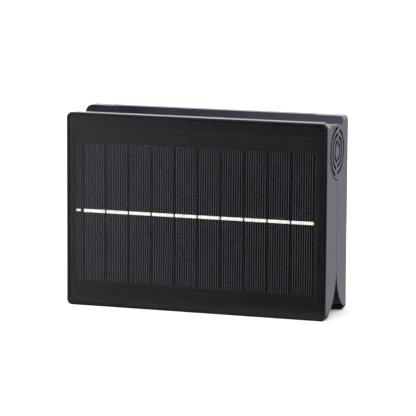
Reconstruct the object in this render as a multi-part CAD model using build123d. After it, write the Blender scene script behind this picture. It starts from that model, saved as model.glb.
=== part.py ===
from build123d import *
import math
import os

# Clip-on solar fence light: two flat halves, hinged near the top like a clothes peg.
# X runs along the hinge, Y from the solar panel (front) to the lamp (back), Z is up.
# The origin is on the ground, under the middle of the parting plane. Millimetres and degrees.

# --- Both halves ---
length = 150.0              # along the hinge
height = 108.6              # lamp half, from lip to lever
top_step = 0.3              # front top edge of the panel half, below the lever's top
half_depth = 21.0           # parting plane to outer face, each half
wall = 2.0                  # moulded shells and jaw plates
parting_gap = 0.3           # between the closed halves
seat_gap = 0.2              # between a jaw plate and the shell that it sits in
lip_thickness = 5.6         # bottom edge of each half
mouth_radius = 26.0         # curve that opens the jaws towards the lips
panel_corner = 3.0          # corners of the panel half, seen from the front
lamp_corner = 2.5           # corners of the lamp half, seen from the back
front_edge = 0.7            # rounding round the panel's face
back_edge = 1.0             # rounding round the lamp's face

# --- Hinge ---
hinge_drop = 18.1           # hinge axis, below the lever's top
knuckle_radius = 15.1       # end knuckles of the lamp half
knuckle_width = 16.0
barrel_radius = 14.5        # middle barrel of the panel half
knuckle_gap = 0.7           # knuckle to the cheek in front of it
barrel_gap = 0.9            # barrel to the hollow behind it
side_gap = 0.4              # barrel end to knuckle
barrel_web = 4.0            # end walls of the barrel, which bear the pins
pin_radius = 3.0
pin_fit = 0.05              # radial clearance of the pins
pin_inset = 8.0             # outer end of each stub pin, in from the half's end
pin_length = 34.0
pin_rib = 4.0               # rib that holds the inner end
pin_rib_half = 8.0          # half the height of that rib
pin_flange_radius = 4.4
pin_flange = 1.2
tube_bore = 2.0             # radius, for the leads
hub_radius = 5.5            # boss in the knuckle
hub_length = 7.5

# --- Lever and notch above the hinge ---
lever_neck = 61.0           # angle from +Y at which the end lever leaves the knuckle
lever_top = 12.2            # front edge of the lever's top, from the parting plane
lever_recess = 2.0          # the middle of the lever stands back from its ends
notch_angle = 126.0         # angle at which the panel's cheek leaves the knuckle
notch_knee = (-11.3, 13.8)  # from the hinge axis
notch_top = -13.2

# --- Grooves on the knuckle's end ---
groove_width = 1.8
groove_depth = 1.4
rear_grooves = (4.1, 7.8, 11.7)     # radii of the arcs on the lamp's side
rear_span = (-90.0, 72.0)
front_grooves = (5.7, 9.6, 13.3)    # radii of the arcs on the panel's side
front_span = (95.0, 246.0)

# --- Torsion springs ---
wire_radius = 0.8
coil_radius = 6.4
coil_turns = 3.5
coil_pitch = 2.1
coil_inset = 5.5            # inner end of the coil, from the pin's inner end
opening_angle = 40.0        # jaws fully open
slot_margin = 6.0           # degrees, spring leg to the end of its slot
leg_wall = 1.4              # shell in front of the spring's leg
socket_depth = 3.2          # socket that holds it
socket_half = 3.0           # half the height of the socket's block

# --- Solar panel ---
rim = 1.5                   # shell round the panel
panel_recess = 2.0
panel_fit = 0.15            # gap round the panel
front_wall = 1.6            # shell behind the panel
gasket_thickness = 0.3
gasket_width = 6.0
backing_thickness = 0.7
cell_count = 10
cells_left_margin = 9.6     # shell's end to the first cell
cells_right_margin = 7.0
cell_gap = 0.5
cells_head = 16.8           # top of the cells, below the panel half's top
cell_bottom = 14.2
cell_thickness = 0.2
ribbon_height = 1.7
ribbon_length = 12.3
ribbon_rise = 0.65          # ribbons, above the middle of the cells
ribbon_thickness = 0.12
ribbon_tip = 1.0            # pointed end past the last segment
ribbon_stub = 2.5           # end tab at the left
stub_gap = 1.5              # end tab to the first cell
ribbon_link = 0.6           # height of the narrow link between segments
laminate_thickness = 0.8
laminate_fit = 0.03         # between the clear sheet and the ribbons

# --- Battery, a round cell 50 mm long, and its cradle ---
cell_room = 0.95            # between the cell and the jaw plate
cell_length = 50.0
cell_edge = 0.5
battery_drop = 23.0         # cell's axis, below the top of the cavity
contact_inset = 7.8         # contact at the nub, in from the hollow pin's inner end
battery_gap = 0.3
contact_room = 3.0          # between the cell's base and the cradle's end wall
contact_plate = 0.4
contact_wire = 0.25
contact_coil = 3.0          # radius
contact_turns = 1.5
contact_half = 4.0          # half the width of the contact plates
nub_radius = 2.5
nub_length = 1.0
cradle_wall = 1.5
cradle_depth = 9.0

# --- Jaw pads and screws ---
pad_margin = 19.0           # pad to the half's end
pad_bottom = 31.0
pad_head = 4.0              # pad to the top of the cavity
pad_inlay = 0.65
pad_base = 0.45
pad_ribs = 12
pad_slope = 0.15            # share of the ribs' pitch that rises, and that falls
pad_crest = 0.45            # share of it that is flat on top
boss_radius = 3.0
screw_radius = 1.2
screw_head = 2.3
screw_length = 8.0
screw_slot = (2.4, 0.5, 0.8)
screw_inset = 8.5           # outer screws, in from the half's ends
lower_screws = 30.0
upper_screws = 5.0          # below the top of the cavity
mouth_screws = (35.0, 22.5)     # in from the ends, and above the ground
pilot_fit = 0.05

# --- Lamp ---
lens_margin = 21.0          # lens to the half's end
lens_bottom = 29.0
lens_head = 33.6            # top of the lens, below the lever's top
lens_corner = 6.0
lens_fit = 0.15
lens_flange = 2.5
lens_flange_thickness = 1.4
lens_thickness = 2.0
lens_gasket_thickness = 0.6
board_thickness = 1.2
board_margin = 12.0         # light board to the half's end
board_overhang = 1.5        # light board past the lens, above and below
tray_depth = 3.7
tray_floor = 1.0
tray_draft = 30.0
chip_size = (3.5, 2.8, 0.8)
chip_room = 1.0             # the tray's holes are larger by this
chip_columns = 8
chip_rows = 2
chip_margin = (8.5, 13.0)   # outer light sources, in from the lens's edges
post_radius = 2.6
post_inset = 3.0            # posts of the boards, in from their edges
board_head_radius = 2.0
board_head = 1.2            # thickness of the board screws' heads
board_screw_length = 4.5

# --- Control board and push button ---
control_half_width = 28.0
control_bottom = 8.5
control_top = 25.5
control_thickness = 1.6
button_level = 15.0
button_radius = 5.8
button_fit = 0.05
button_sunk = 0.3           # the button's face below the shell's
button_dome = 0.8
button_flange_radius = 7.0
button_flange = 0.9
button_travel = 0.4
seal_radius = 6.7
seal_thickness = 1.0
switch_size = 6.0
switch_height = 3.2
plunger_radius = 1.6
plunger_height = 1.1
plunger_sunk = 0.3          # the plunger's foot inside the switch, at rest
control_parts = [(-11.5, 5.0, 1.5), (-2.0, 4.0, 1.2), (6.5, 5.0, 2.6)]   # place along X, width, height
can = (15.0, 2.5, 4.5)      # capacitor: place along X, radius, height

# --- Leads ---
lead_radius = 0.6
lead_spacing = 1.3          # between the two leads of a pair
lead_hole_x = 18.0          # leads of the solar panel, through its shell
lead_hole_drop = 5.0        # those holes, below the top of the cavity
lead_offset = 2.5           # leads, to either side of the cell's axis
lead_drop = 9.0             # turn of the battery's leads, below the hinge axis
return_shift = 5.0          # run of the return lead, in from the positive contact
rear_run = 10.0             # leads down the lamp half, in front of its rear wall
knuckle_turn = 4.0          # their turn in the knuckle, in from the end
control_joint = 8.0         # their joints, in from the control board's edges
jumper_inset = 8.0          # pair between the two boards, in from the control board's end
jumper_out = 4.5            # in front of the control board
jumper_low = 3.0            # their joints, in from the boards' edges
jumper_high = 4.0

# --- Sizes that follow ---
from_base = (Align.CENTER, Align.CENTER, Align.MIN)
half_gap = parting_gap / 2
half_length = length / 2
panel_height = height - top_step                # panel half, from lip to the front top edge
hinge_height = height - hinge_drop
hinge = (0.0, hinge_height)
pin_end = half_length - pin_inset
pin_root = pin_end - pin_length
coil_start = pin_root + coil_inset
cheek = half_length - knuckle_width             # inner face of the lamp's cheeks
barrel_end = cheek - side_gap
cheek_cut = knuckle_radius + knuckle_gap        # radius cut in the panel half round the knuckle
hollow_radius = barrel_radius + barrel_gap      # radius of the lamp half's hollow
cavity_front = half_depth - panel_recess - front_wall
leg_end = cavity_front - leg_wall
cavity_top = hinge_height - cheek_cut - wall    # top of the wide cavity, below the knuckles
inner_face = half_depth - wall                  # inside of the lamp's rear wall
jaw_back = half_gap + wall                      # back of a jaw plate
post_front = inner_face - lens_gasket_thickness - lens_flange_thickness - tray_depth
lens_half_width = half_length - lens_margin
lens_top = height - lens_head
board_half_width = half_length - board_margin
chip_pitch_x = (2 * lens_half_width - 2 * chip_margin[0]) / (chip_columns - 1)
chip_pitch_z = (lens_top - lens_bottom - 2 * chip_margin[1]) / (chip_rows - 1)
pad_half_width = half_length - pad_margin
pad_top = cavity_top - pad_head
screw_rows = (lower_screws, cavity_top - upper_screws)
screw_places = [(sign * (half_length - screw_inset), z) for sign in (-1, 1) for z in screw_rows]
screw_places += [(sign * (half_length - mouth_screws[0]), mouth_screws[1]) for sign in (-1, 1)]
cells_left = cells_left_margin - half_length
cell_pitch = (length - cells_left_margin - cells_right_margin) / cell_count
cell_height = panel_height - cells_head - cell_bottom
ribbon_level = cell_bottom + cell_height / 2 + ribbon_rise
lens_middle = (lens_bottom + lens_top) / 2
lens_half_height = (lens_top - lens_bottom) / 2
spring_end = coil_start + coil_turns * coil_pitch
backing_front = panel_recess - half_depth - gasket_thickness - backing_thickness
cell_radius = (cavity_front - battery_gap - cell_room - jaw_back) / 2
battery_y = -(cavity_front - battery_gap - cell_radius)
lead_hole_z = cavity_top - lead_hole_drop
battery_level = cavity_top - battery_drop
positive_x = contact_inset - pin_root           # middle of each contact plate
nub_end = positive_x + contact_plate / 2
base_end = nub_end + cell_length
negative_x = base_end + contact_room - contact_plate / 2
button_low = inner_face - button_flange
button_top = half_depth - button_sunk
plunger_low = button_low - plunger_height
control_front = plunger_low + plunger_sunk - switch_height - control_thickness     # face towards the jaws
jumper_x = control_half_width - jumper_inset


# --- Helpers ---
def along_x(profile, start, end):
    """Extrude a (Y, Z) profile from X = start to X = end."""
    return extrude(Plane.YZ.offset(start) * profile, amount=end - start)


def plate(profile, low, high):
    """Extrude an (X, Z) profile from Y = low to Y = high."""
    return extrude(Plane.XZ.offset(-high) * profile, amount=high - low)


def block(x, y, z):
    """A box between pairs of limits on the three axes."""
    size = [limits[1] - limits[0] for limits in (x, y, z)]
    middle = [(limits[0] + limits[1]) / 2 for limits in (x, y, z)]
    return Pos(*middle) * Box(*size)


def region(y, z):
    """A rectangle between limits in the (Y, Z) plane."""
    return Pos((y[0] + y[1]) / 2, (z[0] + z[1]) / 2) * Rectangle(y[1] - y[0], z[1] - z[0])


def both_ends(shape):
    """A piece and its mirror image at the other end of the hinge."""
    return shape + mirror(shape, Plane.YZ)


def round_hinge(radius, angle):
    """Point at a radius from the hinge axis, with the angle counted from +Y."""
    return (radius * math.cos(math.radians(angle)), hinge_height + radius * math.sin(math.radians(angle)))


def hinge_disc(radius):
    return Pos(*hinge) * Circle(radius)


def hinge_rod(radius, start, end):
    return along_x(hinge_disc(radius), start, end)


def meeting_height(radius, y):
    """Height below the hinge at which a circle about it crosses a plane of constant Y."""
    return hinge_height - math.sqrt(radius ** 2 - y ** 2)


def mouth_arc(side, depth, foot):
    """Three points of the mouth's arc, set back by depth, from |Y| = foot up to the parting plane."""
    radius = mouth_radius - depth
    centre = half_gap + mouth_radius
    lowest = math.acos((centre - foot) / radius)
    return [
        (side * (centre - radius * math.cos(angle)), mouth_radius - radius * math.sin(angle))
        for angle in (lowest, lowest / 2, 0.0)
    ]


def jaw_outline(side, top):
    """Closed outline of one half: lip, mouth and outer face, closed by the edges of top."""
    lip, middle, end = mouth_arc(side, 0.0, half_depth - lip_thickness)
    outer = side * half_depth
    first = top[0] @ 0
    last = top[-1] @ 1
    edges = [
        Line((outer, 0), (lip[0], 0)),
        Line((lip[0], 0), lip),
        ThreePointArc(lip, middle, end),
        Line(end, (first.X, first.Y)),
        *top,
        Line((last.X, last.Y), (outer, 0)),
    ]
    return make_face(edges)


def slope_tangent():
    """Point where the panel half's sloping top meets the barrel."""
    rise = panel_height - hinge_height
    reach = math.hypot(half_depth, rise)
    touch = math.atan2(rise, -half_depth) - math.acos(barrel_radius / reach)
    return round_hinge(barrel_radius, math.degrees(touch))


def slope_point(y):
    """Point of the sloping top at the given Y."""
    tangent = slope_tangent()
    fall = (panel_height - tangent[1]) / (half_depth + tangent[0])
    return (y, panel_height - fall * (y + half_depth))


# --- Outlines of the two halves ---
def panel_middle():
    """Panel half between the knuckles, with the barrel."""
    foot = (-half_gap, meeting_height(barrel_radius, half_gap))
    tangent = slope_tangent()
    top = [
        ThreePointArc(foot, round_hinge(barrel_radius, 0), tangent),
        Line(tangent, (-half_depth, panel_height)),
    ]
    return jaw_outline(-1, top)


def panel_end():
    """Panel half in front of a knuckle, with the notch that lets the jaws open."""
    foot = (-half_gap, meeting_height(cheek_cut, half_gap))
    leave = round_hinge(cheek_cut, notch_angle)
    knee = (notch_knee[0], hinge_height + notch_knee[1])
    shoulder = slope_point(notch_top)
    top = [
        ThreePointArc(foot, round_hinge(cheek_cut, 190), leave),
        Line(leave, knee),
        Line(knee, shoulder),
        Line(shoulder, (-half_depth, panel_height)),
    ]
    return jaw_outline(-1, top)


def lamp_end():
    """Lamp half at its ends, with the knuckle and the lever."""
    foot = (half_gap, meeting_height(knuckle_radius, half_gap))
    neck = round_hinge(knuckle_radius, lever_neck)
    lever = (lever_top, height)
    top = [
        ThreePointArc(foot, round_hinge(knuckle_radius, 180), neck),
        Line(neck, lever),
        Line(lever, (half_depth, height)),
    ]
    return jaw_outline(1, top)


def lever_middle():
    """Neck and top point of the lever's recessed middle, which slopes like its ends."""
    neck = round_hinge(knuckle_radius, lever_neck)
    slope = (lever_top - neck[0]) / (height - neck[1])
    top = lever_top + lever_recess
    offset = top - slope * hinge_drop
    root = math.sqrt((slope * offset) ** 2 - (1 + slope ** 2) * (offset ** 2 - hollow_radius ** 2))
    rise = (root - slope * offset) / (1 + slope ** 2)
    return (offset + slope * rise, hinge_height + rise), (top, height)


def lamp_middle():
    """Lamp half between the knuckles, hollowed for the barrel."""
    foot = (half_gap, meeting_height(hollow_radius, half_gap))
    neck, lever = lever_middle()
    top = [
        ThreePointArc(foot, round_hinge(hollow_radius, 0), neck),
        Line(neck, lever),
        Line(lever, (half_depth, height)),
    ]
    return jaw_outline(1, top)


def jaw_strip(side, cavity_wall, top):
    """Profile of a jaw plate: its foot on the bottom wall, the mouth's curve and the straight part."""
    lip = half_depth - lip_thickness
    foot = cavity_wall - seat_gap
    outer = mouth_arc(side, 0.0, lip)
    inner = mouth_arc(side, wall, foot)
    edges = [
        ThreePointArc(*outer),
        Polyline(outer[2], (outer[2][0], top), (inner[2][0], top), inner[2]),
        ThreePointArc(*reversed(inner)),
        Polyline(inner[0], (side * foot, wall), (side * lip, wall), outer[0]),
    ]
    return make_face(edges)


# --- Shells ---
def edges_at(shape, test):
    """Edges of a shape whose both ends pass a test."""
    return shape.edges().filter_by(lambda edge: test(edge @ 0) and test(edge @ 1))


def half_blank(middle, end, middle_end, corner, edge_radius, side):
    """Solid half, with its corners and the edge of its outer face rounded."""
    blank = along_x(middle, -middle_end, middle_end) + both_ends(along_x(end, middle_end, half_length))
    corners = edges_at(blank, lambda p: abs(p.X) > half_length - 0.01 and (p.Z < 0.01 or p.Z > hinge_height))
    corners = corners.filter_by(lambda e: abs((e @ 0).Y - (e @ 1).Y) > corner)
    corners = corners.filter_by(lambda e: max(side * (e @ 0).Y, side * (e @ 1).Y) > half_depth - 0.01)
    blank = fillet(corners, corner)
    face_edges = edges_at(blank, lambda p: side * p.Y > half_depth - 0.01)
    return fillet(face_edges, edge_radius)


def boss(place, low, high, radius, bore):
    """Screw boss along Y, with its pilot hole."""
    return plate(Pos(*place) * Circle(radius), low, high) - plate(Pos(*place) * Circle(bore), low, high)


def jaw_surface(z):
    """Distance of the closed jaw's face from the parting plane at a height."""
    if z >= mouth_radius:
        return half_gap
    return half_gap + mouth_radius - math.sqrt(mouth_radius ** 2 - (mouth_radius - z) ** 2)


def jaw_bosses(side, wall_face):
    """Bosses that the jaw plate's screws go into, from the shell's wall to the plate."""
    low, high = sorted((side * half_gap, side * wall_face))
    bosses = Part()
    for place in screw_places:
        bosses += boss(place, low, high, boss_radius, screw_radius + pilot_fit)
    return bosses


def jaw_plate_body(side, cavity_wall):
    """The wide part of a jaw plate, up to just under the knuckles."""
    return along_x(
        jaw_strip(side, cavity_wall, cavity_top - seat_gap), wall + seat_gap - half_length,
        half_length - wall - seat_gap)


def jaw_screws(side):
    """Countersunk screws of a jaw plate."""
    screws = []
    for x, z in screw_places:
        face = jaw_surface(z) + seat_gap
        cone = Plane((x, side * face, z), x_dir=(1, 0, 0), z_dir=(0, side, 0))
        head = Cone(screw_head, screw_radius, screw_head - screw_radius, align=from_base)
        shank = Cylinder(screw_radius, screw_length, align=from_base)
        slots = Box(*screw_slot) + Rot(0, 0, 90) * Box(*screw_slot)
        screws.append(cone * (head + shank - slots))
    return screws


def screw_seats(side):
    """Countersinks and holes that the jaw plate's screws pass through."""
    seats = Part()
    for x, z in screw_places:
        face = jaw_surface(z) + seat_gap
        cone = Plane((x, side * face, z), x_dir=(1, 0, 0), z_dir=(0, side, 0))
        depth = screw_head - screw_radius
        seats += cone * Cone(screw_head + pilot_fit, screw_radius + pilot_fit, depth, align=from_base)
        seats += cone * Cylinder(screw_radius + pilot_fit, wall + 1, align=from_base)
        seats += cone * Pos(0, 0, -1) * Cylinder(screw_head + pilot_fit, 1, align=from_base)
    return seats


def pad_region(side):
    """Hollow in a jaw plate for its pad."""
    low, high = sorted((0.0, side * (half_gap + pad_inlay)))
    return block((-pad_half_width, pad_half_width), (low, high), (pad_bottom, pad_top))


def jaw_pad(side):
    """Soft pad with ribs across the jaw, in its hollow, which meets the other pad when closed."""
    back = side * (half_gap + pad_inlay)
    valley = back - side * pad_base
    pitch = (pad_top - pad_bottom) / pad_ribs
    points = [(back, pad_bottom)]
    for rib in range(pad_ribs):
        z = pad_bottom + rib * pitch
        crest = z + pitch * pad_slope
        end = crest + pitch * pad_crest
        points += [(valley, z), (0, crest), (0, end), (valley, end + pitch * pad_slope)]
    points += [(valley, pad_top), (back, pad_top)]
    profile = make_face(Polyline(*points, close=True))
    return along_x(profile, -pad_half_width + seat_gap, pad_half_width - seat_gap)


def panel_pocket(inset, low, high):
    """Block in the panel's recess, set in from its walls."""
    width = length - 2 * (rim + inset)
    tall = panel_height - 2 * (rim + inset)
    outline = Pos(0, panel_height / 2) * RectangleRounded(width, tall, panel_corner - rim)
    return plate(outline, low, high)


def barrel_fill(profile):
    """Barrel end walls and the ribs at the pins' inner ends."""
    webs = both_ends(along_x(profile, barrel_end - barrel_web, barrel_end))
    heights = (hinge_height - pin_rib_half, hinge_height + pin_rib_half)
    ribs = profile & region((-cavity_front, half_depth), heights)
    return webs + both_ends(along_x(ribs, pin_root - 1, pin_root + pin_rib - 1))


def panel_housing():
    blank = half_blank(panel_middle(), panel_end(), barrel_end, panel_corner, front_edge, -1)
    low = region((-cavity_front, half_depth), (wall, cavity_top))
    high = offset(panel_middle(), -wall) & region((-cavity_front, half_depth), (cavity_top - 1, height))
    shell = blank - along_x(low, wall - half_length, half_length - wall)
    neck = region((-jaw_back, half_depth), (cavity_top - 1, hinge_height))
    shell -= along_x(high + neck, barrel_web - barrel_end, barrel_end - barrel_web)
    inner = offset(panel_middle(), -wall / 2) & region((-cavity_front, half_depth), (cavity_top, height))
    shell += barrel_fill(inner)
    shell -= block((-length, length), (-half_gap, height), (0, height))
    bosses = jaw_bosses(-1, cavity_front) - jaw_plate_body(-1, cavity_front)
    bosses -= block((-length, length), (-jaw_back, 0), (0, height))
    shell += bosses
    socket = block(
        (spring_end - 2 * wire_radius, spring_end + 2 * wire_radius), (-cavity_front, socket_depth - leg_end),
        (hinge_height - socket_half, hinge_height + socket_half))
    shell += both_ends(socket)
    leg_hole = Circle(wire_radius + pilot_fit)
    for x in (-spring_end, spring_end):
        shell -= plate(Pos(x, hinge_height) * leg_hole, -leg_end - seat_gap, socket_depth + 1 - leg_end)
    shell -= panel_pocket(0, -half_depth - 1, panel_recess - half_depth)
    shell -= pin_bores()
    for x in (-lead_hole_x, lead_hole_x):
        shell -= plate(Pos(x, lead_hole_z) * Circle(lead_radius + seat_gap), -half_depth, 1 - cavity_front)
    return shell


def pin_bores():
    """Bores of both stub pins, narrower past the pins' inner ends, where only leads pass."""
    bores = both_ends(hinge_rod(pin_radius + pin_fit, pin_root, pin_end + 1))
    return bores + hinge_rod(tube_bore, -pin_root - 1, -pin_root + pin_rib)


def panel_jaw_plate():
    body = jaw_plate_body(-1, cavity_front)
    neck = region((-jaw_back, -half_gap), (cavity_top - 1, meeting_height(barrel_radius - wall, half_gap)))
    inside_web = barrel_end - barrel_web - seat_gap
    body += along_x(neck, -inside_web, inside_web)
    rear = panel_middle() & region((-half_gap, half_depth), (cavity_top, height))
    shell = rear - hinge_disc(barrel_radius - wall)
    body += along_x(shell, -barrel_end, barrel_end)
    body += barrel_fill(rear)
    for x in (-coil_start, coil_start):
        body -= leg_slot(x)
    body -= pin_bores()
    body -= screw_seats(-1)
    return body - pad_region(-1)


def leg_slot(x):
    """Slot through the barrel, long enough for the spring's leg at every opening of the jaws."""
    reach = 2 * barrel_radius
    angles = (-slot_margin, opening_angle / 2, opening_angle + slot_margin)
    points = [hinge] + [round_hinge(reach, angle) for angle in angles]
    half_width = wire_radius + seat_gap
    return along_x(make_face(Polyline(*points, close=True)), x - half_width, x + half_width)


def lever_band():
    """The lever's recessed face, one wall thick."""
    neck, lever = lever_middle()
    thick = wall * math.hypot(lever[0] - neck[0], lever[1] - neck[1]) / (lever[1] - neck[1])
    back = [(lever[0] + thick, lever[1]), (neck[0] + thick, neck[1])]
    return make_face(Polyline(neck, lever, *back, close=True))


def hollow_profile(extra):
    """Profile of the lamp's jaw plate behind the barrel, grown by extra at its back."""
    band = hinge_disc(hollow_radius + wall + extra) + lever_band() + Pos(extra, 0) * lever_band()
    band += region((0, jaw_back + extra), (cavity_top - 1, hinge_height - barrel_radius))
    return lamp_middle() & band & region((0, half_depth), (cavity_top - 1, height))


def lamp_housing():
    blank = half_blank(lamp_middle(), lamp_end(), cheek, lamp_corner, back_edge, 1)
    low = region((-half_depth, inner_face), (wall, cavity_top))
    shell = blank - along_x(low, wall - half_length, half_length - wall)
    middle = region((0, inner_face), (cavity_top - 1, height - wall))
    shell -= along_x(middle, -cheek, cheek)
    shell -= along_x(hollow_profile(seat_gap / 2), -cheek, cheek)
    end = offset(lamp_end(), -wall) & region((-half_depth, inner_face), (cavity_top - 1, height - wall))
    knuckle_room = along_x(end, cheek + wall, half_length - wall)
    shell -= both_ends(knuckle_room - hinge_rod(hub_radius, cheek, cheek + hub_length))
    shell -= both_ends(hinge_rod(pin_radius + pin_fit, cheek - 1, pin_end + 0.2))
    shell -= both_ends(knuckle_grooves())
    board_room = board_half_width + seat_gap
    shell -= block(
        (-board_room, board_room), (post_front - board_thickness - board_head - seat_gap, inner_face),
        (cavity_top - 1, lens_top + board_overhang + seat_gap))
    shell += jaw_bosses(1, inner_face) - jaw_plate_body(1, inner_face) - jaw_clearance()
    shell += posts()
    window = RectangleRounded(2 * lens_half_width, 2 * lens_half_height, lens_corner)
    shell -= plate(Pos(0, lens_middle) * window, inner_face - 1, half_depth + 1)
    return shell - button_hole()


def jaw_clearance():
    """What lies in front of the back of the lamp's jaw plate."""
    return block((-length, length), (-1, jaw_back), (0, height))


def knuckle_grooves():
    """Staggered concentric arcs sunk in the end of the knuckle."""
    grooves = Part()
    for radii, span in ((rear_grooves, rear_span), (front_grooves, front_span)):
        for radius in radii:
            grooves += groove(radius, *span)
    return grooves


def groove(radius, start, end):
    """One arc groove with round ends."""
    path = CenterArc(hinge, radius, start, end - start)
    outline = make_face(offset(path, groove_width / 2, side=Side.BOTH))
    return along_x(outline, half_length - groove_depth, half_length + 1)


def post_places():
    """Posts of the light board."""
    x = board_half_width - post_inset
    low = lens_bottom - board_overhang + post_inset
    high = lens_top + board_overhang - post_inset
    return [(sign * x, z) for sign in (-1, 1) for z in (low, high)]


def control_places():
    """Posts of the control board."""
    x = control_half_width - post_inset
    rows = (control_bottom + post_inset, control_top - post_inset)
    return [(sign * x, z) for sign in (-1, 1) for z in rows]


def posts():
    """Posts on the lamp's rear wall, for both boards."""
    shapes = Part()
    for place in post_places():
        shapes += boss(place, post_front, inner_face, post_radius, screw_radius)
    for place in control_places():
        shapes += boss(place, control_front + control_thickness, inner_face, post_radius, screw_radius)
    return shapes


def button_hole():
    """Stepped hole of the button: its lip, and the wider bore of its seal."""
    centre = Pos(0, button_level)
    lip = plate(centre * Circle(button_radius + button_fit), inner_face - 1, half_depth + 1)
    return lip + plate(centre * Circle(seal_radius), inner_face - 1, inner_face + seal_thickness)


def lamp_jaw_plate():
    body = jaw_plate_body(1, inner_face)
    body += along_x(hollow_profile(0), pilot_fit - cheek, cheek - pilot_fit)
    for x in (-coil_start, coil_start):
        body -= plate(Pos(x, hinge_height) * Circle(wire_radius + pilot_fit), barrel_radius, inner_face)
    body -= screw_seats(1)
    return body - pad_region(1)


# --- Solar panel ---
def panel_gasket():
    ring = panel_pocket(panel_fit, panel_recess - half_depth - gasket_thickness, panel_recess - half_depth)
    return ring - panel_pocket(gasket_width, -half_depth, panel_recess - half_depth)


def solar_backing():
    return panel_pocket(panel_fit, backing_front, backing_front + backing_thickness)


def cell_left(index):
    return cells_left + index * cell_pitch


def solar_cells():
    cells = []
    for index in range(cell_count):
        x = cell_left(index) + cell_gap / 2
        cells.append(block(
            (x, x + cell_pitch - cell_gap), (backing_front - cell_thickness, backing_front),
            (cell_bottom, cell_bottom + cell_height)))
    return cells


def bus_ribbons():
    """Ribbon segments, one a cell, joined by narrow links, a tip at the right and a stub at the left."""
    front = backing_front - cell_thickness
    between = cell_pitch - ribbon_length
    chain = Sketch()
    for index in range(cell_count):
        x = cell_left(index) + cell_pitch / 2
        chain += Pos(x, ribbon_level) * Rectangle(ribbon_length, ribbon_height)
        if index:
            chain += Pos(x - cell_pitch / 2, ribbon_level) * Rectangle(between + 1, ribbon_link)
    tip = cell_left(cell_count) - between / 2
    half = ribbon_height / 2
    chain += make_face(Polyline(
        (tip - 1, ribbon_level - half), (tip, ribbon_level - half), (tip + ribbon_tip, ribbon_level),
        (tip, ribbon_level + half), (tip - 1, ribbon_level + half), close=True))
    stub_x = cells_left - stub_gap - ribbon_stub / 2
    stub = Pos(stub_x, ribbon_level) * Rectangle(ribbon_stub, 2 * ribbon_link)
    return [
        plate(chain, front - ribbon_thickness, front),
        plate(stub, backing_front - ribbon_thickness, backing_front),
    ]


def panel_laminate():
    front = backing_front - laminate_thickness
    sheet = panel_pocket(panel_fit, front, backing_front)
    depth = cell_thickness + ribbon_thickness + laminate_fit
    room = block(
        (cells_left - stub_gap - ribbon_stub - cell_gap, cell_left(cell_count) + ribbon_tip + cell_gap),
        (backing_front - depth, backing_front + 1),
        (cell_bottom - cell_gap, cell_bottom + cell_height + cell_gap))
    return sheet - room


# --- Battery ---
def battery_cell():
    """Round cell with its positive nub towards -X."""
    shoulder = nub_end + nub_length
    body = cell_rod(cell_radius, shoulder, base_end)
    return fillet(body.edges(), cell_edge) + cell_rod(nub_radius, nub_end, shoulder + cell_edge)


def cell_rod(radius, start, end):
    return along_x(Pos(battery_y, battery_level) * Circle(radius), start, end)


def battery_cradle():
    """Frame on the shell's wall: two rails, two end walls, and slots for the contacts."""
    inner = cell_radius + battery_gap
    outer = inner + cradle_wall
    start = nub_end - contact_plate
    end = base_end + contact_room
    front = -cavity_front
    frame = block(
        (start - cradle_wall, end + cradle_wall), (front, front + cradle_depth),
        (battery_level - outer, battery_level + outer))
    frame -= block((start, end), (front - 1, 0), (battery_level - inner, battery_level + inner))
    slot = lead_radius + seat_gap
    above = (battery_level, battery_level + outer)
    for x in (positive_x, negative_x):
        frame -= block((x - slot, x + slot), (battery_y - contact_half, 0), above)
    return frame


def battery_contacts():
    """Plate at the nub and plate with a coil at the base, each with a tab for its lead."""
    tall = (battery_level - cell_radius, battery_level + cell_radius)
    deep = (battery_y - contact_half, battery_y + contact_half)
    plates = [
        block((x - contact_plate / 2, x + contact_plate / 2), deep, tall) for x in (positive_x, negative_x)]
    centre = Plane.YZ.offset(base_end + contact_wire)
    rise = contact_room - contact_plate - contact_wire
    helix = centre * Pos(battery_y, battery_level) * Helix(rise / contact_turns, rise, contact_coil)
    section = Plane(helix @ 0, z_dir=helix % 0) * Circle(contact_wire)
    coil = sweep(section, path=helix, is_frenet=True)
    return [plates[0], plates[1] + coil]


# --- Lamp ---
def lens_outline(grow):
    width = 2 * (lens_half_width + grow)
    tall = 2 * (lens_half_height + grow)
    return Pos(0, lens_middle) * RectangleRounded(width, tall, lens_corner + grow)


def lamp_lens():
    """Frosted window with a flange behind the shell, hollowed for the light."""
    back = post_front + tray_depth
    body = plate(lens_outline(-lens_fit), back, half_depth)
    body += plate(lens_outline(lens_flange), back, back + lens_flange_thickness)
    return body - plate(lens_outline(-lens_flange), back - 1, half_depth - lens_thickness)


def lens_gasket():
    back = inner_face - lens_gasket_thickness
    ring = lens_outline(lens_flange) - lens_outline(lens_fit)
    return plate(ring, back, inner_face)


def chip_places():
    places = []
    for row in range(chip_rows):
        z = lens_middle + (row - (chip_rows - 1) / 2) * chip_pitch_z
        for column in range(chip_columns):
            places.append(((column - (chip_columns - 1) / 2) * chip_pitch_x, z))
    return places


def reflector_tray():
    """White tray with sloping sides and a hole for each light source."""
    outer = plate(lens_outline(lens_flange), post_front, post_front + tray_depth)
    slope = tray_depth - tray_floor
    lean = slope * math.tan(math.radians(tray_draft))
    bottom = Plane.XZ.offset(-(post_front + tray_floor)) * lens_outline(-lens_flange - lean)
    top = Plane.XZ.offset(-(post_front + tray_depth)) * lens_outline(-lens_flange)
    tray = outer - loft(Sketch() + [bottom, top])
    for x, z in chip_places():
        hole = Pos(x, z) * Rectangle(chip_size[0] + chip_room, chip_size[1] + chip_room)
        tray -= plate(hole, post_front - 1, post_front + tray_floor + 1)
    return tray


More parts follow.
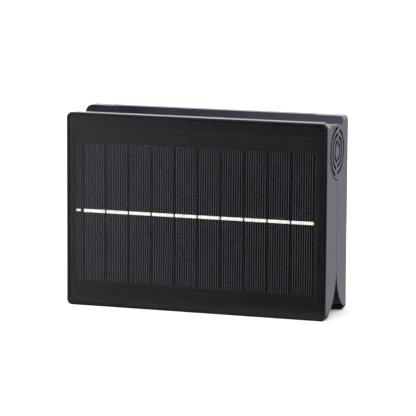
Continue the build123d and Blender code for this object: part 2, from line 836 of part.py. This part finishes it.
def led_board():
    outline = Pos(0, lens_middle) * RectangleRounded(
        2 * board_half_width, 2 * (lens_half_height + board_overhang), 1.5)
    board = plate(outline, post_front - board_thickness, post_front)
    hole = Circle(screw_radius + seat_gap)
    for place in post_places():
        board -= plate(Pos(*place) * hole, post_front - board_thickness, post_front)
    return board


def led_chips():
    wide, tall, deep = chip_size
    return [
        block((x - wide / 2, x + wide / 2), (post_front, post_front + deep), (z - tall / 2, z + tall / 2))
        for x, z in chip_places()
    ]


def board_screws():
    """Pan-head screws of both boards."""
    screws = []
    for places, face in ((post_places(), post_front - board_thickness), (control_places(), control_front)):
        for place in places:
            head = plate(Pos(*place) * Circle(board_head_radius), face - board_head, face)
            shank = plate(Pos(*place) * Circle(screw_radius - pilot_fit), face, face + board_screw_length)
            screws.append(head + shank)
    return screws


def control_board():
    middle = (control_bottom + control_top) / 2
    outline = Pos(0, middle) * RectangleRounded(2 * control_half_width, control_top - control_bottom, 1.5)
    board = plate(outline, control_front, control_front + control_thickness)
    hole = Circle(screw_radius + seat_gap)
    for place in control_places():
        board -= plate(Pos(*place) * hole, control_front, control_front + control_thickness)
    return board


def control_chips():
    """Driver, charger and coil, then the capacitor, on the control board's face towards the jaws."""
    middle = (control_bottom + control_top) / 2
    chips = []
    for x, width, tall in control_parts:
        sides = (x - width / 2, x + width / 2), (middle - width / 2, middle + width / 2)
        chips.append(block(sides[0], (control_front - tall, control_front), sides[1]))
    x, radius, tall = can
    chips.append(plate(Pos(x, middle) * Circle(radius), control_front - tall, control_front))
    return chips


def tact_switch():
    back = control_front + control_thickness
    half = switch_size / 2
    body = block((-half, half), (back, back + switch_height), (button_level - half, button_level + half))
    foot = plunger_low - button_travel - seat_gap
    well = plate(Pos(0, button_level) * Circle(plunger_radius + pilot_fit), foot, back + switch_height)
    return body - well


def switch_plunger():
    return plate(Pos(0, button_level) * Circle(plunger_radius), plunger_low, button_low)


def power_button():
    """Push button: a domed cap, and a flange that the shell keeps in."""
    centre = Pos(0, button_level)
    cap = plate(centre * Circle(button_radius), button_low, button_top)
    cap = fillet(edges_at(cap, lambda p: p.Y > button_top - 0.01), button_dome)
    return cap + plate(centre * Circle(button_flange_radius), button_low, button_low + button_flange)


def button_seal():
    ring = Pos(0, button_level) * (Circle(seal_radius) - Circle(button_radius + button_fit))
    return plate(ring, inner_face, inner_face + seal_thickness)


# --- Hinge ---
def hinge_pin():
    """Solid stub pin of the right end, with a flange inside the barrel's end wall."""
    flange = barrel_end - barrel_web
    collar = hinge_rod(pin_flange_radius, flange - pin_flange, flange)
    return hinge_rod(pin_radius, pin_root, pin_end) + collar


def hinge_tube():
    """Hollow stub pin of the left end, which lets the leads through."""
    return mirror(hinge_pin(), Plane.YZ) - hinge_rod(tube_bore, -length, 0)


def torsion_springs():
    """Springs that close the jaws: one leg in the lamp half, the other in the panel half."""
    turns = Helix(coil_pitch, coil_turns * coil_pitch, coil_radius)
    helix = Plane.YZ.offset(coil_start) * Pos(*hinge) * turns
    section = Plane(helix @ 0, z_dir=helix % 0) * Circle(wire_radius)
    spring = sweep(section, path=helix, is_frenet=True)
    wire = Circle(wire_radius)
    spring += plate(Pos(coil_start, hinge_height) * wire, coil_radius, hollow_radius + wall - seat_gap)
    spring += plate(Pos(spring_end, hinge_height) * wire, -leg_end, -coil_radius)
    return [spring, mirror(spring, Plane.YZ)]


# --- Leads ---
def lead(points):
    """Round lead along straight runs, with mitred turns."""
    path = Polyline(*points)
    section = Plane(path @ 0, z_dir=path % 0) * Circle(lead_radius)
    return sweep(section, path=path, transition=Transition.RIGHT)


def panel_leads():
    """From the backing board's pads, through the shell, to the contacts."""
    tab = battery_level + cell_radius
    start = panel_recess - half_depth - gasket_thickness
    y = battery_y - lead_offset
    leads = []
    for x, contact in ((-lead_hole_x, positive_x), (lead_hole_x, negative_x)):
        route = [(x, start, lead_hole_z), (x, y, lead_hole_z), (contact, y, lead_hole_z), (contact, y, tab)]
        leads.append(lead(route))
    return leads


def battery_leads():
    """From the contacts, up to the hinge axis and into the hollow pin."""
    tab = battery_level + cell_radius
    y = battery_y + lead_offset
    upper = hinge_height + lead_spacing / 2
    lower = hinge_height - lead_spacing / 2
    turn = positive_x + return_shift
    across = tab + lead_drop
    first = [
        (positive_x, y, tab), (positive_x, y, lower - lead_drop), (positive_x, 0, lower),
        (-pin_end, 0, lower)]
    second = [
        (negative_x, y, tab), (negative_x, y, across), (turn, y, across), (turn, y, upper - lead_drop),
        (turn, 0, upper), (-pin_end, 0, upper)]
    return [lead(first), lead(second)]


def lamp_leads():
    """From the hollow pin, through the knuckle and down to the control board, and on to the light board."""
    leads = []
    rear = inner_face - rear_run
    front = control_front - jumper_out
    for sign in (1, -1):
        shift = sign * lead_spacing / 2
        x = knuckle_turn - half_length - shift
        z = hinge_height + shift
        low = control_top - control_joint - shift
        end = control_joint - control_half_width - shift
        route = [
            (-pin_end, 0, z), (x, 0, z), (x, rear, z), (x, rear, low), (end, rear, low),
            (end, control_front, low)]
        leads.append(lead(route))
        pair = jumper_x + sign * lead_spacing
        start = control_top - jumper_low
        rise = lens_bottom - board_overhang + jumper_high
        jumper = [
            (pair, control_front, start), (pair, front, start), (pair, front, rise),
            (pair, post_front - board_thickness, rise)]
        leads.append(lead(jumper))
    return leads


# --- Files ---
nodes = {
    "panel_housing": panel_housing,
    "panel_jaw_plate": panel_jaw_plate,
    "panel_jaw_pad": lambda: jaw_pad(-1),
    "panel_screws": lambda: jaw_screws(-1),
    "panel_gasket": panel_gasket,
    "solar_backing": solar_backing,
    "solar_cells": solar_cells,
    "bus_ribbons": bus_ribbons,
    "panel_laminate": panel_laminate,
    "battery_cell": battery_cell,
    "battery_cradle": battery_cradle,
    "battery_contacts": battery_contacts,
    "panel_leads": panel_leads,
    "battery_leads": battery_leads,
    "lamp_housing": lamp_housing,
    "lamp_jaw_plate": lamp_jaw_plate,
    "lamp_jaw_pad": lambda: jaw_pad(1),
    "lamp_screws": lambda: jaw_screws(1),
    "lamp_lens": lamp_lens,
    "lens_gasket": lens_gasket,
    "reflector_tray": reflector_tray,
    "led_board": led_board,
    "led_chips": led_chips,
    "board_screws": board_screws,
    "control_board": control_board,
    "control_chips": control_chips,
    "tact_switch": tact_switch,
    "switch_plunger": switch_plunger,
    "power_button": power_button,
    "button_seal": button_seal,
    "lamp_leads": lamp_leads,
    "hinge_pin": hinge_pin,
    "hinge_tube": hinge_tube,
    "torsion_springs": torsion_springs,
}

os.makedirs("parts", exist_ok=True)
for name, make in nodes.items():
    made = make()
    shape = Compound(children=made) if isinstance(made, list) else made
    export_step(shape, f"parts/{name}.step")
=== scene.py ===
import math

import bmesh
import bpy
from mathutils import Matrix, Vector


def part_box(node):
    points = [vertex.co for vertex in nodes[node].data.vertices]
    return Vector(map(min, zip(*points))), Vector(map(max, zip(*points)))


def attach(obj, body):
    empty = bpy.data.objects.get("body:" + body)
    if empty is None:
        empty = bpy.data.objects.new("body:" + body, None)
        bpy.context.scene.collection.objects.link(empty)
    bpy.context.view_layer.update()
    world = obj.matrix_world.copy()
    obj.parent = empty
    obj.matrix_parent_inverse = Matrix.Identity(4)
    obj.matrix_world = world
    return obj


# Clip-on solar fence light: the looks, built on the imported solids. Metres, in the part's own frame:
# X along the hinge, Y from the solar panel to the lamp, Z up.

MM = 0.001

# --- Camera ---
CAMERA_TARGET = Vector((0.8, 0.0, 55.4)) * MM
CAMERA_DISTANCE = 1538.5 * MM
CAMERA_YAW = 18.33          # degrees towards +X from the panel's normal
CAMERA_RISE = 8.95          # degrees above the horizon
CAMERA_ROLL = 0.32          # degrees
CAMERA_CLIP = (0.05, 30.0)
FOCAL_PIXELS = 2777         # focal length, in pixels of the photograph's frame
FRAME_PIXELS = 416
SENSOR = 36.0               # millimetres, as the lens is given

# --- Finish of the shells and of the panel ---
SHELL = {"level": 0.003, "rough": 0.2, "tint": (0.0, 0.05, 0.2)}
SHELL_EDGE = 0.35 * MM      # edges are shaded as if rounded by this much
BLUISH = (0.0, 0.0, 0.15)   # tint of the printed lines and the backing
BACKING_IOR = 1.12          # low, so that the board has nearly no gloss of its own
SHEET_IOR = 1.5
SHEET_ROUGH = 0.12

# --- Texture of moulded plastic and metal ---
NOISE_SPAN = (0.3, 0.7)     # where most of a noise's values lie
BROAD_SCALE = 60            # of a plastic's changes of shade and gloss, per metre
METAL_SCALE = 900
SHADE_CHANGE = 0.12         # share that a plastic's shade changes by
GLOSS_CHANGE = 0.03         # what its roughness changes by
TARNISH = 0.85              # darkest shade of a metal, as a share
TARNISH_ROUGH = 0.06        # what its roughness changes by

# --- Solar cells ---
CELL_COUNT = 10
CELL_MARGINS = (9.6 * MM, 7.0 * MM)     # from the half's left and right ends to the cells
CELL_GAP = 0.5 * MM
CELL_ROUGHS = (0.11, 0.15)  # roughness of the cells and their lines
CELL_COAT = 0.9             # share of the clear sheet's gloss that the cells' own gloss stands for
FINGERS = 9                 # printed lines of a cell
FINGER_WIDTH = 0.22 * MM
FINGER_RISE = 0.02 * MM
LINK_DULL = (0.38 * MM, 0.50 * MM)      # from a border of two cells, where a dull link turns into tin
LINK_COLOUR = (0.03, 0.03, 0.03)

# --- Shelf of the panel half's top ---
LEDGE_START = 0.5 * MM      # from the front face
LEDGE_DEPTH = 8.0 * MM
LEDGE_FALL = 0.35 * MM      # from the half's highest edge to the shelf's back
LEDGE_FRONT = 0.3           # share of that fall at the shelf's front
LEDGE_TAIL = 1.5 * MM       # slope behind it, back into the shell
LEDGE_SLOPE = 0.15          # fall of the shell's top under it
LEDGE_SINK = (0.3 * MM, 0.1 * MM)       # how deep it goes into the shell, at its start and end
LEDGE_INSET = 3.0 * MM      # from the half's ends

# --- Rib at the left step of the lever's recessed face ---
RIB = ((-58.62 * MM, 105.0 * MM), (-57.75 * MM, 108.3 * MM))     # across and up, of its foot and top
RIB_FACE = 94.40 * MM       # the face goes back as far as it rises over this height
RIB_HALF_WIDTH = 0.35 * MM
RIB_HEIGHT = 0.3 * MM       # square to the face

# --- Light and floor ---
KEY_PLACE = (-1.3, -0.9, 0.8)
KEY_AIM = (0, 0, 0.05)
KEY_SIZE = (0.8, 0.8)
KEY_POWER = 18
WORLD_LIGHT = 1.6           # strength of the light from all round
FLOOR_SIZE = 6.0
FLOOR_SHADES = (0.93, 0.95)
FLOOR_SCALE = 3             # of its noise, per metre

# --- Reflections of the world: a wall behind and a ceiling, by the reflected direction ---
WALL = (1.35, 1.35, 1.38)
CEILING_EDGE = (0.45, 0.80)         # height between the wall and the ceiling
CEILING_LEAN = 0.8          # the ceiling comes lower in front
CEILING_SPAN = (-0.325, -0.275)     # from its left colour to its right one
CEILING_LEFT = (0.0, 0.01, 0.16)
CEILING_RIGHT = (1.65, 1.82, 2.4)

# --- Reflections of the floor: a painted sweep of light that darkens, by the place on the floor, with a painted shadow under the object ---
SWEEP_COLOUR = (0.71, 0.71, 0.79)
SWEEP = (-0.188, 0.107)     # from the bright left to the dark right
SWEEP_LEAN = 0.336          # slant of that change across the floor
SWEEP_FRONT = (-0.06, -0.015)       # the dark side ends here, towards the object
SWEEP_DARK = 0.02           # share of light left there
UNDER = ((0.075, 0.082), (0.021, 0.032))    # borders of the painted shadow under the object, across and deep
UNDER_SHADE = 0.8           # share of light that the painted shadow takes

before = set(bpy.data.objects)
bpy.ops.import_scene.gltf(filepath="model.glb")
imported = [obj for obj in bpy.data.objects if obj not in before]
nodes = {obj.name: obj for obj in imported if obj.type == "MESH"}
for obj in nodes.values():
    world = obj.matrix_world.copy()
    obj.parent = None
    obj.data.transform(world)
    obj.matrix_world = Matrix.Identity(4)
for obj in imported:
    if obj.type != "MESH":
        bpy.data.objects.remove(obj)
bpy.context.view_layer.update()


# --- Shader helpers ---
def material(name):
    """A new node material, with its tree and its Principled shader."""
    made = bpy.data.materials.new(name)
    made.use_nodes = True
    return made, made.node_tree, made.node_tree.nodes["Principled BSDF"]


def node(tree, kind, **inputs):
    """A shader node with some of its inputs set, by name."""
    made = tree.nodes.new(kind)
    for key, value in inputs.items():
        made.inputs[key].default_value = value
    return made


def coordinates(tree, kind="Object"):
    """X, Y and Z of the shaded place, or of the direction in a world."""
    place = tree.nodes.new("ShaderNodeTexCoord")
    parts = tree.nodes.new("ShaderNodeSeparateXYZ")
    tree.links.new(place.outputs[kind], parts.inputs["Vector"])
    return parts.outputs


def noise(tree, scale, detail):
    """Noise over the object's own coordinates, with its scale per metre."""
    place = tree.nodes.new("ShaderNodeTexCoord")
    made = node(tree, "ShaderNodeTexNoise", Scale=scale, Detail=detail, Roughness=0.5)
    tree.links.new(place.outputs["Object"], made.inputs["Vector"])
    return made.outputs["Fac"]


def ramp(tree, source, low, high, at=NOISE_SPAN):
    """Colours between two ends, by a value."""
    made = tree.nodes.new("ShaderNodeValToRGB")
    for element, place, colour in zip(made.color_ramp.elements, at, (low, high)):
        element.position = place
        element.color = (*colour, 1)
    tree.links.new(source, made.inputs["Fac"])
    return made.outputs["Color"]


def moved(tree, source, start, end, low, high, ends="SMOOTHSTEP"):
    """A value moved from start..end to low..high."""
    made = tree.nodes.new("ShaderNodeMapRange")
    made.interpolation_type = ends
    for key, value in (("From Min", start), ("From Max", end), ("To Min", low), ("To Max", high)):
        made.inputs[key].default_value = value
    tree.links.new(source, made.inputs["Value"])
    return made.outputs["Result"]


def spread(tree, source, low, high):
    """A noise's values moved to low..high."""
    return moved(tree, source, *NOISE_SPAN, low, high, ends="LINEAR")


def value_math(tree, operation, first, second=0.0):
    """A math node on one or two values or sockets."""
    made = tree.nodes.new("ShaderNodeMath")
    made.operation = operation
    for place, value in enumerate((first, second)):
        if isinstance(value, (int, float)):
            made.inputs[place].default_value = value
        else:
            tree.links.new(value, made.inputs[place])
    return made.outputs["Value"]


def mixed_shader(tree, share, first, second):
    """The output of two shaders mixed, by the second's share."""
    made = tree.nodes.new("ShaderNodeMixShader")
    for place, source in enumerate((share, first, second)):
        tree.links.new(source, made.inputs[place])
    return made.outputs["Shader"]


def mixed_colour(tree, share, fixed, source):
    """A fixed colour mixed with a socket's, by the socket's share."""
    made = tree.nodes.new("ShaderNodeMixRGB")
    made.inputs["Color1"].default_value = (*fixed, 1)
    tree.links.new(share, made.inputs["Fac"])
    tree.links.new(source, made.inputs["Color2"])
    return made.outputs["Color"]


def bump(tree, shader, source, depth):
    """Relief of a depth, in metres."""
    made = node(tree, "ShaderNodeBump", Strength=1.0, Distance=depth)
    tree.links.new(source, made.inputs["Height"])
    tree.links.new(made.outputs["Normal"], shader.inputs["Normal"])
    return made


def clouded(tree, shader, source, shades, roughs):
    """Base colour and roughness that change with a noise."""
    tree.links.new(ramp(tree, source, *shades), shader.inputs["Base Color"])
    tree.links.new(spread(tree, source, *roughs), shader.inputs["Roughness"])


def grey(level, tint=(0.0, 0.0, 0.0)):
    """A grey, with each part of it raised by its share of tint."""
    return tuple(level * (1 + part) for part in tint)


# --- Layout of the cells ---
def cell_span(index):
    """Left and right borders of a cell."""
    low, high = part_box("panel_housing")
    left = low.x + CELL_MARGINS[0]
    pitch = (high.x - CELL_MARGINS[1] - left) / CELL_COUNT
    return left + index * pitch, left + (index + 1) * pitch


def border_distance(tree):
    """Distance across to the nearest border of two cells, in a material."""
    left, right = cell_span(0)
    pitch = right - left
    share = value_math(tree, "DIVIDE", value_math(tree, "SUBTRACT", coordinates(tree)["X"], left), pitch)
    off = value_math(tree, "SUBTRACT", share, value_math(tree, "ROUND", share))
    return value_math(tree, "MULTIPLY", value_math(tree, "ABSOLUTE", off), pitch)


def over_cells(tree):
    """1 over a cell, 0 over the border of the panel and between cells, in a material."""
    place = coordinates(tree)
    low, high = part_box("solar_cells")
    over = value_math(tree, "GREATER_THAN", border_distance(tree), CELL_GAP / 2)
    for axis, index in (("X", 0), ("Z", 2)):
        middle, reach = (low[index] + high[index]) / 2, (high[index] - low[index]) / 2
        off = value_math(tree, "ABSOLUTE", value_math(tree, "SUBTRACT", place[axis], middle))
        over = value_math(tree, "MULTIPLY", over, value_math(tree, "LESS_THAN", off, reach))
    return over


# --- Materials ---
def moulded(name, level, rough, tint=(0, 0, 0), grain=2200, depth=0.006 * MM, edge=0):
    """Moulded plastic: fine spark texture, with slight changes of shade and gloss."""
    made, tree, shader = material(name)
    shades = [grey(level * (1 + side * SHADE_CHANGE), tint) for side in (-1, 1)]
    roughs = (rough - GLOSS_CHANGE, rough + GLOSS_CHANGE)
    clouded(tree, shader, noise(tree, BROAD_SCALE, detail=3), shades, roughs)
    grain_bump = bump(tree, shader, noise(tree, grain, detail=2), depth)
    if edge:
        rounded = node(tree, "ShaderNodeBevel", Radius=edge)
        rounded.samples = 6
        tree.links.new(rounded.outputs["Normal"], grain_bump.inputs["Normal"])
    return made


def metal(name, level, rough, tint=(0, 0, 0)):
    """Bare metal with faint clouds of tarnish."""
    made, tree, shader = material(name)
    shader.inputs["Metallic"].default_value = 1.0
    shades = (grey(level * TARNISH, tint), grey(level, tint))
    roughs = (rough - TARNISH_ROUGH, rough + TARNISH_ROUGH)
    clouded(tree, shader, noise(tree, METAL_SCALE, detail=3), shades, roughs)
    return made


def backing():
    """Black board behind the cells, matt."""
    made = moulded("backing", level=0.012, rough=0.8, tint=BLUISH, depth=0.001 * MM)
    made.node_tree.nodes["Principled BSDF"].inputs["IOR"].default_value = BACKING_IOR
    return made


def clear_sheet():
    """Clear laminate: what is behind it shows, with a soft gloss on its outer face, less over the cells."""
    made, tree, shader = material("laminate")
    tree.nodes.remove(shader)
    gloss = node(tree, "ShaderNodeBsdfGlossy", Roughness=SHEET_ROUGH)
    clear = tree.nodes.new("ShaderNodeBsdfTransparent")
    fresnel = node(tree, "ShaderNodeFresnel", IOR=SHEET_IOR)
    side = tree.nodes.new("ShaderNodeNewGeometry")
    outer = value_math(tree, "SUBTRACT", 1.0, side.outputs["Backfacing"])
    left_out = value_math(tree, "MULTIPLY", over_cells(tree), CELL_COAT)
    kept = value_math(tree, "MULTIPLY", outer, value_math(tree, "SUBTRACT", 1.0, left_out))
    share = value_math(tree, "MULTIPLY", fresnel.outputs["Fac"], kept)
    surface = mixed_shader(tree, share, clear.outputs["BSDF"], gloss.outputs["BSDF"])
    tree.links.new(surface, tree.nodes["Material Output"].inputs["Surface"])
    return made


def tinned():
    """Solder-coated ribbon: cream white, matt and a little uneven, with dull links between the cells."""
    made, tree, shader = material("tin")
    blobs = noise(tree, scale=700, detail=3)
    on_cell = moved(tree, border_distance(tree), *LINK_DULL, 0.0, 1.0)
    coat = ramp(tree, blobs, low=(0.52, 0.49, 0.43), high=(0.72, 0.69, 0.63))
    tree.links.new(mixed_colour(tree, on_cell, LINK_COLOUR, coat), shader.inputs["Base Color"])
    tree.links.new(spread(tree, blobs, low=0.45, high=0.6), shader.inputs["Roughness"])
    shader.inputs["Metallic"].default_value = 0.2
    bump(tree, shader, blobs, depth=0.05 * MM)
    return made


def silver_paste():
    """Printed lines of the cells: grey, thinner in places, as glossy as the sheet over them."""
    made, tree, shader = material("silver_paste")
    shades = (grey(0.050, BLUISH), grey(0.072, BLUISH))
    clouded(tree, shader, noise(tree, scale=350, detail=3), shades, CELL_ROUGHS)
    return made


def silicon():
    """Black cells, as glossy as the sheet over them."""
    made, tree, shader = material("silicon")
    shades = ((0.001, 0.001, 0.0014), (0.002, 0.002, 0.003))
    clouded(tree, shader, noise(tree, scale=90, detail=4), shades, CELL_ROUGHS)
    return made


def frosted():
    """Frosted lens: lets light through and hides what is behind it."""
    made, tree, shader = material("frosted")
    shader.inputs["Transmission Weight"].default_value = 0.35
    shader.inputs["IOR"].default_value = 1.49
    shades = ((0.80, 0.81, 0.80), (0.83, 0.84, 0.83))
    clouded(tree, shader, noise(tree, scale=400, detail=2), shades, roughs=(0.4, 0.5))
    bump(tree, shader, noise(tree, scale=2500, detail=2), depth=0.01 * MM)
    return made


def paint(names, made):
    """Give CAD nodes a material in place of their own."""
    for name in names:
        target = nodes[name].data
        target.materials.clear()
        target.materials.append(made)


def paint_all(shell):
    """Materials of all the CAD nodes."""
    paint(["panel_housing", "panel_jaw_plate", "lamp_housing", "lamp_jaw_plate"], shell)
    paint(["panel_jaw_pad", "lamp_jaw_pad", "button_seal"], moulded("pad", level=0.02, rough=0.7))
    foam = moulded("foam", level=0.015, rough=0.85, grain=1200, depth=0.02 * MM)
    paint(["panel_gasket", "lens_gasket"], foam)
    paint(["power_button"], moulded("button", level=0.03, rough=0.5))
    paint(["battery_cradle", "switch_plunger"], moulded("frame_plastic", level=0.08, rough=0.5))
    paint(["tact_switch", "control_chips"], moulded("chip", level=0.02, rough=0.45))
    paint(["solar_backing"], backing())
    paint(["reflector_tray"], moulded("white_plastic", level=0.8, rough=0.4))
    paint(["led_board"], moulded("white_board", level=0.75, rough=0.35))
    paint(["control_board"], moulded("green_board", level=0.09, rough=0.3, tint=(-0.6, 0.5, -0.3)))
    paint(["led_chips"], moulded("phosphor", level=0.7, rough=0.3, tint=(0.0, -0.12, -0.6)))
    paint(["battery_cell"], moulded("wrap", level=0.1, rough=0.25, tint=(-0.4, 0.5, 0.0)))
    sleeve = moulded("lead_sleeve", level=0.12, rough=0.4, tint=(1.5, -0.8, -0.8))
    paint(["panel_leads", "battery_leads", "lamp_leads"], sleeve)
    paint(["panel_screws", "lamp_screws", "board_screws"], metal("zinc", level=0.5, rough=0.35))
    paint(["battery_contacts"], metal("nickel", level=0.6, rough=0.25, tint=(0.05, 0.0, -0.08)))
    paint(["hinge_pin", "hinge_tube"], metal("pin_steel", level=0.5, rough=0.3))
    paint(["torsion_springs"], metal("spring_steel", level=0.35, rough=0.35))
    paint(["bus_ribbons"], tinned())
    paint(["solar_cells"], silicon())
    paint(["panel_laminate"], clear_sheet())
    paint(["lamp_lens"], frosted())


# --- Meshes ---
def mesh_object(name, build, made):
    """An object from a bmesh function, with its material."""
    shape = bmesh.new()
    build(shape)
    data = bpy.data.meshes.new(name)
    shape.to_mesh(data)
    shape.free()
    data.materials.append(made)
    result = bpy.data.objects.new(name, data)
    bpy.context.scene.collection.objects.link(result)
    return result


def mesh_piece(name, build, made, body):
    """A visible piece of the object, which rides on a body."""
    piece = mesh_object(name, build, made)
    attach(piece, body)


def add_box(shape, low, high):
    """A box between two corners."""
    low, high = Vector(low), Vector(high)
    made = bmesh.ops.create_cube(shape, size=1)["verts"]
    bmesh.ops.scale(shape, vec=high - low, verts=made)
    bmesh.ops.translate(shape, vec=(low + high) / 2, verts=made)


def add_prism(shape, outlines):
    """A closed solid between two outlines with the same number of points."""
    ends = [[shape.verts.new(place) for place in outline] for outline in outlines]
    count = len(ends[0])
    for first in range(count):
        second = (first + 1) % count
        shape.faces.new((ends[0][first], ends[0][second], ends[1][second], ends[1][first]))
    for end in ends:
        shape.faces.new(end)
    bmesh.ops.recalc_face_normals(shape, faces=shape.faces)


def fingers(shape):
    """Printed lines of all the cells."""
    low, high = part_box("solar_cells")
    for index in range(CELL_COUNT):
        left, right = cell_span(index)
        step = (right - left) / (FINGERS + 1)
        for line in range(1, FINGERS + 1):
            x = left + line * step
            foot = (x - FINGER_WIDTH / 2, low.y - FINGER_RISE, low.z)
            add_box(shape, foot, (x + FINGER_WIDTH / 2, low.y, high.z))


def ledge(shape):
    """Nearly flat shelf behind the panel half's front top edge, over the slope of the shell."""
    low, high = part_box("panel_housing")
    top, front, reach = high.z, low.y, high.x - LEDGE_INSET
    end = LEDGE_DEPTH + LEDGE_TAIL
    section = (
        (front + LEDGE_START, top - LEDGE_FRONT * LEDGE_FALL),
        (front + LEDGE_DEPTH, top - LEDGE_FALL),
        (front + end, top - LEDGE_SLOPE * end - LEDGE_SINK[1]),
        (front + LEDGE_START, top - LEDGE_SLOPE * LEDGE_START - LEDGE_SINK[0]),
    )
    add_prism(shape, [[(x, y, z) for y, z in section] for x in (-reach, reach)])


def lever_rib(shape):
    """Slim slanted rib on the lever's sloping face."""
    rise = RIB_HEIGHT * math.sqrt(0.5)
    add_prism(shape, [[
        (x - RIB_HALF_WIDTH, z - RIB_FACE, z),
        (x, z - RIB_FACE - rise, z + rise),
        (x + RIB_HALF_WIDTH, z - RIB_FACE, z),
    ] for x, z in RIB])


# --- Stage ---
def mirrored(tree):
    """1 for rays that a glossy or clear surface sends on."""
    rays = tree.nodes.new("ShaderNodeLightPath").outputs
    return value_math(tree, "MAXIMUM", rays["Is Glossy Ray"], rays["Is Transmission Ray"])


def reflected_floor(tree):
    """How bright the floor is in reflections: a painted sweep, dim to the front and right, and a painted
    shadow under the object.
    """
    place = coordinates(tree)
    slant = value_math(tree, "MULTIPLY", place["Y"], SWEEP_LEAN)
    across = value_math(tree, "SUBTRACT", place["X"], slant)
    dim = moved(tree, across, *SWEEP, 0.0, 1.0 - SWEEP_DARK)
    front = moved(tree, place["Y"], *SWEEP_FRONT, 1.0, 0.0)
    bright = value_math(tree, "SUBTRACT", 1.0, value_math(tree, "MULTIPLY", dim, front))
    # painted shadow under the object: the floor's glow is dimmed there
    clear = []
    for axis, borders in zip(("X", "Y"), UNDER):
        off = value_math(tree, "ABSOLUTE", place[axis])
        clear.append(moved(tree, off, *borders, 1.0 - UNDER_SHADE, 1.0))
    return value_math(tree, "MULTIPLY", bright, value_math(tree, "MAXIMUM", *clear))


def floor_sheet(shape):
    """A square centred on the object."""
    bmesh.ops.create_grid(shape, x_segments=1, y_segments=1, size=FLOOR_SIZE)


def stage_floor():
    """Pale floor that keeps the object's shadow, and in reflections is a painted, darkening sweep with a
    painted shadow under the object.
    """
    made, tree, shader = material("floor")
    tree.nodes.remove(shader)
    matt = node(tree, "ShaderNodeBsdfDiffuse", Roughness=0.5)
    pale = ramp(tree, noise(tree, FLOOR_SCALE, detail=2), *(grey(level) for level in FLOOR_SHADES))
    tree.links.new(pale, matt.inputs["Color"])
    glow = node(tree, "ShaderNodeEmission", Color=(*SWEEP_COLOUR, 1))
    tree.links.new(reflected_floor(tree), glow.inputs["Strength"])
    surface = mixed_shader(tree, mirrored(tree), matt.outputs["BSDF"], glow.outputs["Emission"])
    tree.links.new(surface, tree.nodes["Material Output"].inputs["Surface"])
    made.cycles.emission_sampling = "NONE"
    floor = mesh_object("floor", floor_sheet, made)


def ceiling(tree):
    """What reflections see of the world: a white wall, and over it a bluish ceiling, dark at the left."""
    along = coordinates(tree, "Generated")
    share = moved(tree, along["X"], *CEILING_SPAN, 0.0, 1.0)
    colour = ramp(tree, share, CEILING_LEFT, CEILING_RIGHT, (0.0, 1.0))
    lean = value_math(tree, "MULTIPLY", along["Y"], CEILING_LEAN)
    height = value_math(tree, "SUBTRACT", along["Z"], lean)
    return mixed_colour(tree, moved(tree, height, *CEILING_EDGE, 0.0, 1.0), WALL, colour)


def stage_world():
    """White behind the object, the wall and ceiling in its reflections, and light from all round."""
    world = bpy.data.worlds.new("world")
    bpy.context.scene.world = world
    world.use_nodes = True
    tree = world.node_tree
    soft = tree.nodes["Background"]
    soft.inputs["Color"].default_value = (1, 1, 1, 1)
    soft.inputs["Strength"].default_value = WORLD_LIGHT
    white = node(tree, "ShaderNodeBackground", Color=(1, 1, 1, 1), Strength=1.0)
    room = node(tree, "ShaderNodeBackground", Strength=1.0)
    tree.links.new(ceiling(tree), room.inputs["Color"])
    rays = tree.nodes.new("ShaderNodeLightPath").outputs
    surface = soft.outputs["Background"]
    for share, other in ((mirrored(tree), room), (rays["Is Camera Ray"], white)):
        surface = mixed_shader(tree, share, surface, other.outputs["Background"])
    tree.links.new(surface, tree.nodes["World Output"].inputs["Surface"])


def key_light():
    """Soft light from the front left, above."""
    data = bpy.data.lights.new("key", "AREA")
    data.shape = "RECTANGLE"
    data.size, data.size_y = KEY_SIZE
    data.energy = KEY_POWER
    made = bpy.data.objects.new("key", data)
    bpy.context.scene.collection.objects.link(made)
    made.location = KEY_PLACE
    made.rotation_euler = (Vector(KEY_AIM) - Vector(KEY_PLACE)).to_track_quat("-Z", "Y").to_euler()


def camera():
    """The photograph's view, from in front and slightly above, turned a little to the right."""
    yaw, rise = math.radians(CAMERA_YAW), math.radians(CAMERA_RISE)
    ahead = Vector((-math.sin(yaw) * math.cos(rise), math.cos(yaw) * math.cos(rise), -math.sin(rise)))
    data = bpy.data.cameras.new("camera")
    data.sensor_width = SENSOR
    data.lens = FOCAL_PIXELS / FRAME_PIXELS * SENSOR
    data.clip_start, data.clip_end = CAMERA_CLIP
    made = bpy.data.objects.new("camera", data)
    bpy.context.scene.collection.objects.link(made)
    made.location = CAMERA_TARGET - ahead * CAMERA_DISTANCE
    made.rotation_mode = "QUATERNION"
    roll = Matrix.Rotation(-math.radians(CAMERA_ROLL), 3, ahead).to_quaternion()
    made.rotation_quaternion = roll @ ahead.to_track_quat("-Z", "Y")
    bpy.context.scene.camera = made


shell_plastic = moulded("shell", **SHELL, edge=SHELL_EDGE)
paint_all(shell_plastic)
mesh_piece("cell_fingers", fingers, silver_paste(), "panel_half")
mesh_piece("panel_ledge", ledge, shell_plastic, "panel_half")
mesh_piece("lever_rib", lever_rib, moulded("rib", **SHELL), "lamp_half")
stage_floor()
stage_world()
key_light()
camera()
bpy.context.scene.view_settings.view_transform = "Standard"
